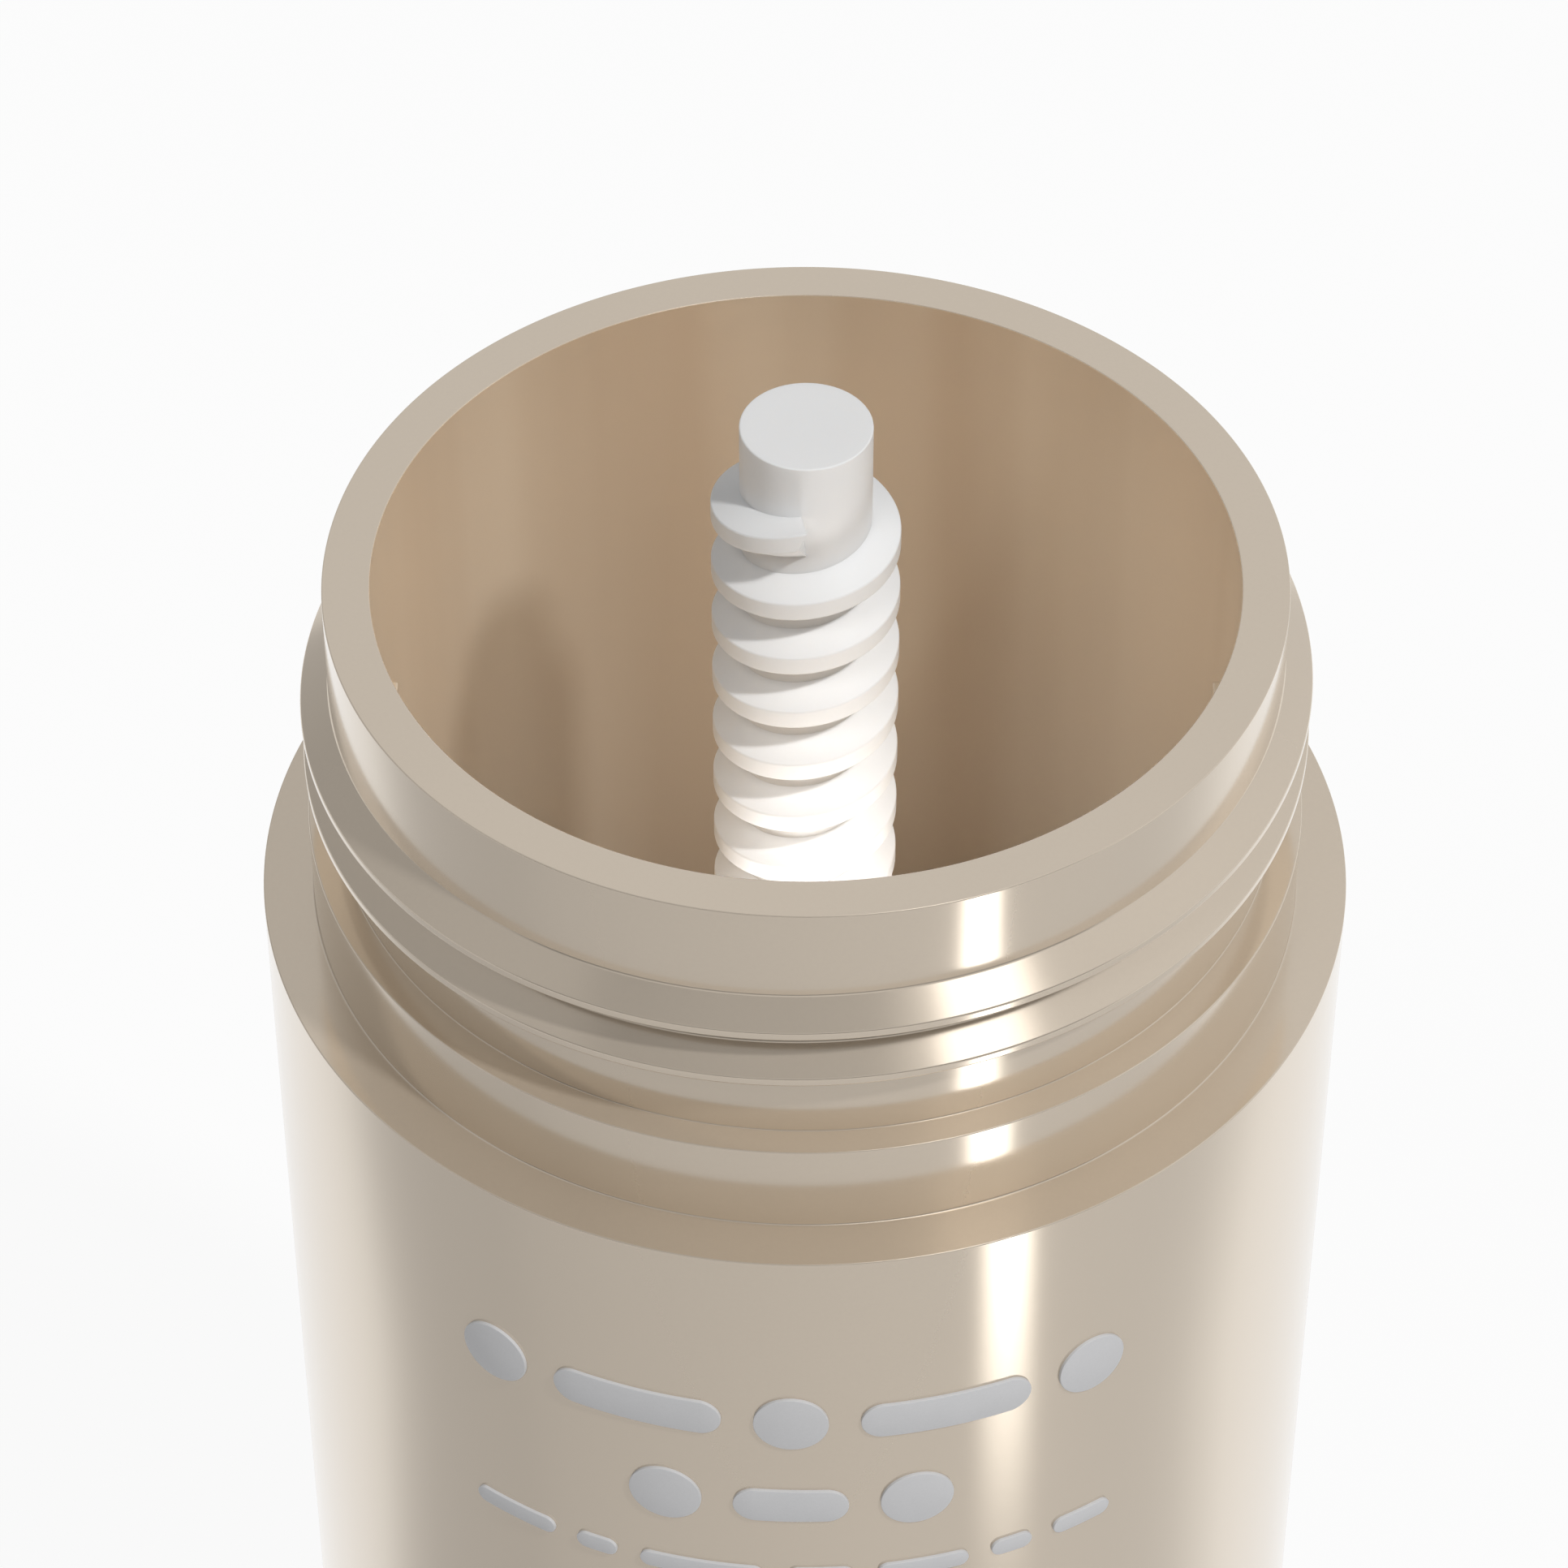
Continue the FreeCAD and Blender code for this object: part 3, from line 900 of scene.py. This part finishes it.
# %% Values and finishes
class Value:
    """A node's output that can be reckoned with."""

    def __init__(self, finish, node, output=0):
        self.finish, self.node, self.output = finish, node, output

    def socket(self):
        return self.node.outputs[self.output]

    def of(self, output):
        """Another output of the same node."""
        return Value(self.finish, self.node, output)

    def math(self, operation, *inputs, clamp=False):
        settings = {"operation": operation, "use_clamp": clamp}
        return self.finish.node("ShaderNodeMath", settings, dict(enumerate(inputs)))

    def __add__(self, other):
        return self.math("ADD", self, other)

    def __sub__(self, other):
        return self.math("SUBTRACT", self, other)

    def __rsub__(self, other):
        return self.math("SUBTRACT", other, self)

    def __mul__(self, other):
        return self.math("MULTIPLY", self, other)

    def __truediv__(self, other):
        return self.math("DIVIDE", self, other)

    def __pow__(self, other):
        return self.math("POWER", self, other)

    __radd__, __rmul__ = __add__, __mul__

    def clamped(self):
        return self.math("ADD", self, 0, clamp=True)


class Finish:
    """A material, or the world, and its nodes."""

    def __init__(self, owner):
        owner.use_nodes = True
        self.tree = owner.node_tree
        self.tree.nodes.clear()

    def node(self, kind, settings=None, sockets=None):
        """Adds a node: its type, then its settings, then the values or links of its sockets."""
        made = self.tree.nodes.new(kind)
        for name, value in (settings or {}).items():
            if name == "stops":
                while len(made.color_ramp.elements) < len(value):
                    made.color_ramp.elements.new(0.5)
                for element, (place, tone) in zip(made.color_ramp.elements, value):
                    element.position = place
                    element.color = (tone, tone, tone, 1)
            else:
                setattr(made, name, value)
        for name, value in (sockets or {}).items():
            if isinstance(value, Value):
                self.tree.links.new(value.socket(), made.inputs[name])
            elif value is not None:
                made.inputs[name].default_value = value
        return Value(self, made)

    def place(self):
        """Object coordinates, in metres."""
        return self.node("ShaderNodeTexCoord").of("Object")

    def parts(self, vector):
        return self.node("ShaderNodeSeparateXYZ", None, {"Vector": vector})

    def outwards(self, vector):
        """The direction of a vector, one unit long."""
        return self.node("ShaderNodeVectorMath", {"operation": "NORMALIZE"}, {0: vector})

    def show(self, shader):
        self.node("ShaderNodeOutputMaterial", None, {"Surface": shader})

    def noise(self, place, size, detail=2.0):
        """Cloudy noise about 0.5, with clouds of this size in metres."""
        sockets = {"Vector": place, "Scale": 1 / size, "Detail": detail, "Roughness": 0.5}
        return self.node("ShaderNodeTexNoise", {"noise_dimensions": "3D"}, sockets)

    def blend(self, factor, first, second):
        """One colour turning into another."""
        settings = {"data_type": "RGBA", "clamp_factor": True}
        made = self.node("ShaderNodeMix", settings, {0: factor, 6: first, 7: second})
        return made.of(2)

    def relief(self, height, distance, strength=1.0):
        sockets = {"Height": height, "Distance": distance, "Strength": strength}
        return self.node("ShaderNodeBump", None, sockets)

    def surface(self, **sockets):
        """The Principled shader, with its sockets written with underscores."""
        named = {name.replace("_", " "): value for name, value in sockets.items()}
        self.show(self.node("ShaderNodeBsdfPrincipled", None, named))


def colour(red, green, blue):
    return (red, green, blue, 1)


def dress(material, *pieces):
    for piece in pieces:
        piece.data.materials.clear()
        piece.data.materials.append(material)
    print("material", material.name, "on", ", ".join(piece.name for piece in pieces))


# %% [markdown]
# ### Metallised plastic
#
# The barrel, jacket and dial are moulded plastic with a thin layer of aluminium on them, tinted
# to a pale champagne under clear lacquer. So the metal has the tint, and a clear coat on top
# turns white at grazing angles, which is why the jacket's sides look so pale. The layer's sheen
# isn't quite even: broad clouds change its roughness a little, a fine speckle changes its tone,
# and the lacquer has the faintest orange peel. In the bore the metal layer is thinner, because
# the vapour hardly reaches it, so the tan plastic shows through, unevenly in soft upright bands.
# The bore's colour is also painted darker towards the back: a painted shade where the screw
# darkens the back wall.

# %% The champagne finish
champagne = bpy.data.materials.new("champagne_metallised")
finish = Finish(champagne)
place = finish.place()
parts = finish.parts(place)
across = (parts.of("X") ** 2 + parts.of("Y") ** 2) ** 0.5
above_floor = ((parts.of("Z") - floor_top) / (2 * mm)).clamped()
in_bore = ((bore_radius + 0.03 * mm - across) / (0.02 * mm)).clamped() * above_floor
clouds = finish.noise(place, 9 * mm)
speckle = finish.noise(place, 0.16 * mm, detail=1.0)
peel = finish.noise(place, 0.9 * mm, detail=1.0)
tone = 0.4 * clouds + 0.6 * speckle
stretched = {"Vector": place, "Scale": (1, 1, 0.04)}
bands = finish.noise(finish.node("ShaderNodeMapping", None, stretched), 5 * mm)
# Painted shade: towards the back of the bore the colour turns darker, where the screw darkens the
# back wall. The stretched noise adds uneven upright bands on top of it.
painted_back_shade = ((parts.of("Y") / bore_radius - 0.6) / 0.35).clamped()
thin_metal_and_painted_shade = 0.8 * painted_back_shade + 1.6 * (bands - 0.5)
outer = finish.blend(tone, colour(0.725, 0.63, 0.515), colour(0.765, 0.666, 0.545))
inner = finish.blend(thin_metal_and_painted_shade, colour(0.81, 0.69, 0.542), colour(0.655, 0.52, 0.38))
finish.surface(
    Base_Color=finish.blend(in_bore, outer, inner),
    Metallic=0.72 - 0.12 * in_bore,
    Roughness=0.12 + 0.04 * clouds + 0.16 * in_bore,
    Normal=finish.relief(peel, 0.002 * mm, 0.3),
    Coat_Weight=0.4,
    Coat_Roughness=0.1,
    Coat_IOR=1.5,
)
dress(champagne, inner_barrel, jacket, dial)

# %% [markdown]
# ### White plastic
#
# The screw, carrier and base cover are white polypropylene. It has a satin skin from the mould,
# lets a little light in, and is faintly uneven where it cooled at different speeds.

# %% The white finish
satin_white = bpy.data.materials.new("white_polypropylene")
finish = Finish(satin_white)
place = finish.place()
clouds = finish.noise(place, 4 * mm)
skin = finish.noise(place, 0.12 * mm, detail=2.0)
finish.surface(
    Base_Color=finish.blend(
        0.7 * clouds + 0.3 * skin, colour(0.88, 0.878, 0.872), colour(0.92, 0.92, 0.918)
    ),
    Roughness=0.26 + 0.1 * clouds + 0.04 * skin,
    Normal=finish.relief(skin, 0.003 * mm, 0.5),
    Subsurface_Weight=0.15,
    Subsurface_Radius=(1.0, 0.9, 0.8),
    Subsurface_Scale=0.6 * mm,
    IOR=1.49,
)
dress(satin_white, screw, carrier, cover)

# %% [markdown]
# ### Pale print
#
# The raised marks are screen-printed in a thick pale grey ink. Ink like this is satin, with a
# fine mesh grain and a tone that varies slightly with its thickness.

# %% The print finish
ink = bpy.data.materials.new("pale_ink")
finish = Finish(ink)
place = finish.place()
clouds = finish.noise(place, 1.5 * mm)
grain = finish.noise(place, 0.09 * mm, detail=1.0)
finish.surface(
    Base_Color=finish.blend(
        0.5 * clouds + 0.5 * grain, colour(0.6, 0.6, 0.61), colour(0.68, 0.68, 0.69)
    ),
    Roughness=0.42 + 0.12 * grain,
    Normal=finish.relief(grain, 0.004 * mm, 0.5),
)
dress(ink, *rows)

# %% [markdown]
# ## Floor, cards, lamps and camera
#
# The pack stands on a plain white floor under an even white world. To the camera and to mirror
# reflections the floor is mostly plain white, mixed with a little real white paint, so that the
# pack's shadow stays faintly on it.

# %% The floor and the world
def light_path(finish):
    """1 for rays that look at the background themselves: from the camera, a mirror or glass."""
    rays = finish.node("ShaderNodeLightPath")
    seen = rays.of("Is Camera Ray") + rays.of("Is Glossy Ray") + rays.of("Is Transmission Ray")
    return seen.clamped()


floor = add(bpy.ops.mesh.primitive_plane_add, "floor", size=8)
floor_material = bpy.data.materials.new("white_floor")
finish = Finish(floor_material)
paint = finish.node("ShaderNodeBsdfDiffuse", None, {"Color": colour(0.86, 0.86, 0.86)})
plain_white = finish.node("ShaderNodeEmission", None, {"Strength": 1.0})
share = 0.93 * light_path(finish)
shown = finish.node("ShaderNodeMixShader", None, {0: share, 1: paint, 2: plain_white})
finish.show(shown)
floor_material.cycles.emission_sampling = "NONE"
dress(floor_material, floor)

world = bpy.data.worlds.new("studio")
bpy.context.scene.world = world
finish = Finish(world)
strength = 0.176 + 0.824 * light_path(finish)
sockets = {"Color": colour(1, 1, 1), "Strength": strength}
white = finish.node("ShaderNodeBackground", None, sockets)
finish.node("ShaderNodeOutputWorld", None, {"Surface": white})
world.cycles.sampling_method = "NONE"
print("the world", world.name, "is plain white to the camera")

# %% [markdown]
# The jacket is nearly a mirror, so it shows what lies around it. A round card on the floor gives
# it something to show: a soft grey in front, where someone with a camera would stand, darkest at
# the left, and bright panels to the sides. A narrow strip at the front right makes the one bright
# line down the neck and jacket. A dome stands for the room: dark low in front, which gives the
# gaps between the thread's turns their depth, dark again where the camera hangs, and bright at
# one panel that the slopes of the thread throw back. Only mirror reflections see the cards.

# %% Cards that only reflections see
def only_in_reflections(card):
    card.visible_camera = False
    card.visible_diffuse = False
    card.visible_transmission = False
    card.visible_shadow = False


def ring_card(name, inner, outer, height):
    """A flat ring from one radius to another round the pack."""
    card = add(bpy.ops.mesh.primitive_circle_add, name, vertices=96, radius=inner)
    start_editing(card)
    pick_all()
    bpy.ops.mesh.extrude_edges_move()
    scale = outer / inner
    widen(scale)
    pick_all()
    move(0, 0, height)
    stop_editing()
    only_in_reflections(card)
    return card


bend_start, bend_reach = 72 * mm, 44 * mm


def tone_card(card, tones, bend=0.0, change=None):
    """Gives a card its brightness by angle: 0 in front, 90 at the right. bend widens the front
    part further out, and change works out a factor on the brightness from the place."""
    brightest = max(tone for _, tone in tones)
    material = bpy.data.materials.new(card.name)
    finish = Finish(material)
    place = finish.place()
    quarter = {"Vector": place, "Rotation": (0, 0, math.pi / 2)}
    front_first = finish.node("ShaderNodeMapping", {"vector_type": "POINT"}, quarter)
    around = finish.node("ShaderNodeTexGradient", {"gradient_type": "RADIAL"}, {0: front_first})
    angle = around.of("Fac") - 0.5
    if bend:
        parts = finish.parts(place)
        reach = (parts.of("X") ** 2 + parts.of("Y") ** 2) ** 0.5
        further = ((reach - bend_start) / bend_reach).clamped()
        angle = angle / (1 - bend + 2 * bend * further)
    stops = [((degrees + 180) / 360, tone / brightest) for degrees, tone in tones]
    shade = finish.node("ShaderNodeValToRGB", {"stops": stops}, {"Fac": angle + 0.5})
    strength = brightest * change(finish, place) if change else brightest
    glow = finish.node("ShaderNodeEmission", None, {"Color": shade, "Strength": strength})
    finish.show(glow)
    material.cycles.emission_sampling = "NONE"
    dress(material, card)


def towards(finish, place, angle, inner, outer):
    """1 within inner degrees round the pack from an angle, 0 beyond outer degrees."""
    level = finish.node("ShaderNodeMapping", None, {"Vector": place, "Scale": (1, 1, 0)})
    angle = math.radians(angle)
    sockets = {0: finish.outwards(level), 1: (math.sin(angle), -math.cos(angle), 0)}
    facing = finish.node("ShaderNodeVectorMath", {"operation": "DOT_PRODUCT"}, sockets)
    near_edge, far_edge = math.cos(math.radians(inner)), math.cos(math.radians(outer))
    return ((facing.of("Value") - far_edge) / (near_edge - far_edge)).clamped()


def above(finish, place, start, full):
    """0 below a first elevation in degrees and 1 above the second."""
    height = finish.parts(finish.outwards(place)).of("Z")
    start, full = math.sin(math.radians(start)), math.sin(math.radians(full))
    return ((height - start) / (full - start)).clamped()


def camera_and_panel(finish, place):
    """The dome is dark low in front and where the camera hangs, and bright at one panel."""
    room = towards(finish, place, 0, 56, 66) * (1 - above(finish, place, 26, 34))
    camera_shade = towards(finish, place, -20, 37, 46) * above(finish, place, 50, 53)
    panel = towards(finish, place, 44, 8.5, 14) * above(finish, place, 51, 53)
    return 1 - 0.75 * room - 0.39 * camera_shade + 3.2 * panel


low_tones = (
    (-180, 0.96), (-160, 0.97), (-147, 1.0), (-128, 1.02), (-118, 1.0), (-110, 0.94),
    (-104, 0.8), (-98, 0.66), (-91, 0.57), (-82, 0.535), (-72, 0.52), (-63, 0.51),
    (-54, 0.545), (-36, 0.575), (-18, 0.595), (0, 0.62), (18, 0.64), (54, 0.645), (74, 0.63),
    (82, 0.645), (90, 0.7), (100, 0.86), (109, 0.99), (118, 1.01), (147, 0.99), (160, 0.97),
    (180, 0.96),
)
high_tones = (
    (-180, 0.7), (-150, 0.56), (-125, 0.44), (-60, 0.42), (-20, 0.56), (0, 0.6), (45, 0.66),
    (90, 0.7), (180, 0.7),
)
surround = ring_card("surround_card", inner=24 * mm, outer=500 * mm, height=0.2 * mm)
tone_card(surround, low_tones, bend=0.12)

# %% The dome overhead
sphere = {"segments": 64, "ring_count": 32, "radius": 2.4}
dome = add(bpy.ops.mesh.primitive_uv_sphere_add, "dome_card", **sphere)
start_editing(dome)
pick_all()
bpy.ops.mesh.bisect(plane_co=(0, 0, 0.02), plane_no=(0, 0, 1), clear_inner=True)
stop_editing()
bpy.ops.object.shade_smooth()
only_in_reflections(dome)
tone_card(dome, high_tones, change=camera_and_panel)

# %% The narrow strip
strip_angle = math.radians(39.3)
strip_near, strip_far, strip_width = 62 * mm, 128 * mm, 22 * mm
strip_fade, strip_dim, strip_bright = 34 * mm, 0.62, 4.6
strip_card = add(bpy.ops.mesh.primitive_plane_add, "strip_card", size=1)
start_editing(strip_card)
strip_middle = (0, -(strip_near + strip_far) / 2, 0.6 * mm)
size_and_place((strip_width, strip_far - strip_near, 1), strip_middle)
stop_editing()
strip_card.rotation_euler.z = strip_angle
only_in_reflections(strip_card)
strip_material = bpy.data.materials.new("strip_glow")
strip_material.cycles.emission_sampling = "NONE"
finish = Finish(strip_material)
parts = finish.parts(finish.place())
outwards = ((-1 * parts.of("Y") - strip_near) / strip_fade).clamped()
across = parts.of("X") / (strip_width / 2)
profile = (1 - across ** 2).clamped() ** 2
brightness = strip_dim + strip_bright * outwards ** 2 * profile
glow = finish.node("ShaderNodeEmission", None, {"Strength": brightness})
finish.show(glow)
dress(strip_material, strip_card)

# %% [markdown]
# ### Lamps
#
# A small key lamp high at the right gives the screw its form and a shadow inside the bore, and a
# broad, weak lamp at the left fills in. Both are placed by their angle round the pack and their
# height above the floor, and their power is worked out from how brightly they should light a
# surface that faces them. Mirror reflections don't show them, because the cards are there for that.

# %% The lamps
def lamp(name, angle, elevation, distance, size, level, middle=(0, 0, rim - 8 * mm)):
    """A round lamp aimed at a middle. level is the brightness of a white surface that faces it."""
    angle, elevation = math.radians(angle), math.radians(elevation)
    place = (
        middle[0] + distance * math.sin(angle) * math.cos(elevation),
        middle[1] - distance * math.cos(angle) * math.cos(elevation),
        middle[2] + distance * math.sin(elevation),
    )
    turn = (math.pi / 2 - elevation, 0, angle)
    made = add(bpy.ops.object.light_add, name, type="AREA", location=place, rotation=turn)
    made.data.shape = "DISK"
    made.data.size = size
    made.data.energy = level * (math.pi * distance) ** 2
    made.visible_camera = False
    made.visible_glossy = False
    print(name, "has a power of", round(made.data.energy, 2), "W")
    return made


lamp("key", angle=48, elevation=53.5, distance=1.5, size=0.11, level=0.6)
lamp("fill", angle=-30, elevation=51, distance=1.4, size=0.5, level=0.16)

# %% [markdown]
# ### Light inside the mouth
#
# Light that falls into the mouth goes back and forth between its mirror-like walls many times
# before it comes out, which is why the real mouth glows warmly and the screw is nearly white at
# its foot. A renderer gives up on such a path after a few turns, and the mouth goes dark. So
# three small hidden lamps stand for the lost light. Two stand in the middle and light the wall
# only, evenly all round, and one stands at the front wall and lights the screw only.

# %% A lamp that lights one piece only
def light_only(made, piece, blocker):
    """made lights piece alone, and nothing but blocker can stand in its light."""
    made.visible_camera = False
    made.visible_glossy = False
    for part, held in (("receiver_collection", piece), ("blocker_collection", blocker)):
        group = bpy.data.collections.new(made.name + "_" + part)
        group.objects.link(held)
        setattr(made.light_linking, part, group)


glow_power, glow_depths = 0.003, (5 * mm, 22 * mm)
for depth in glow_depths:
    place = (0, 0, rim - depth)
    glow = add(bpy.ops.object.light_add, "glow", type="POINT", radius=1 * mm, location=place)
    glow.data.energy = glow_power
    light_only(glow, inner_barrel, jacket)
low_middle = (0, 0, rim - 21 * mm)
bounce = lamp("bounce", 8, 0, distance=14.2 * mm, size=9 * mm, level=2.6, middle=low_middle)
light_only(bounce, screw, screw)
print(len(glow_depths), "lamps of", glow_power, "W light the bore, and one lights the screw")

# %% [markdown]
# ### Camera
#
# A long lens from the front, looking down at 44 degrees into the open mouth.

# %% The camera
place, tilt = (-0.00077, -0.15272, 0.23358), (math.radians(45.90), 0, 0)
camera = add(bpy.ops.object.camera_add, "Camera", location=place, rotation=tilt)
camera.data.lens = 133.5
camera.data.sensor_width = 36
camera.data.clip_start = 0.01
bpy.context.scene.camera = camera
bpy.context.scene.view_settings.view_transform = "Standard"
print("the camera has a lens of", camera.data.lens, "mm")
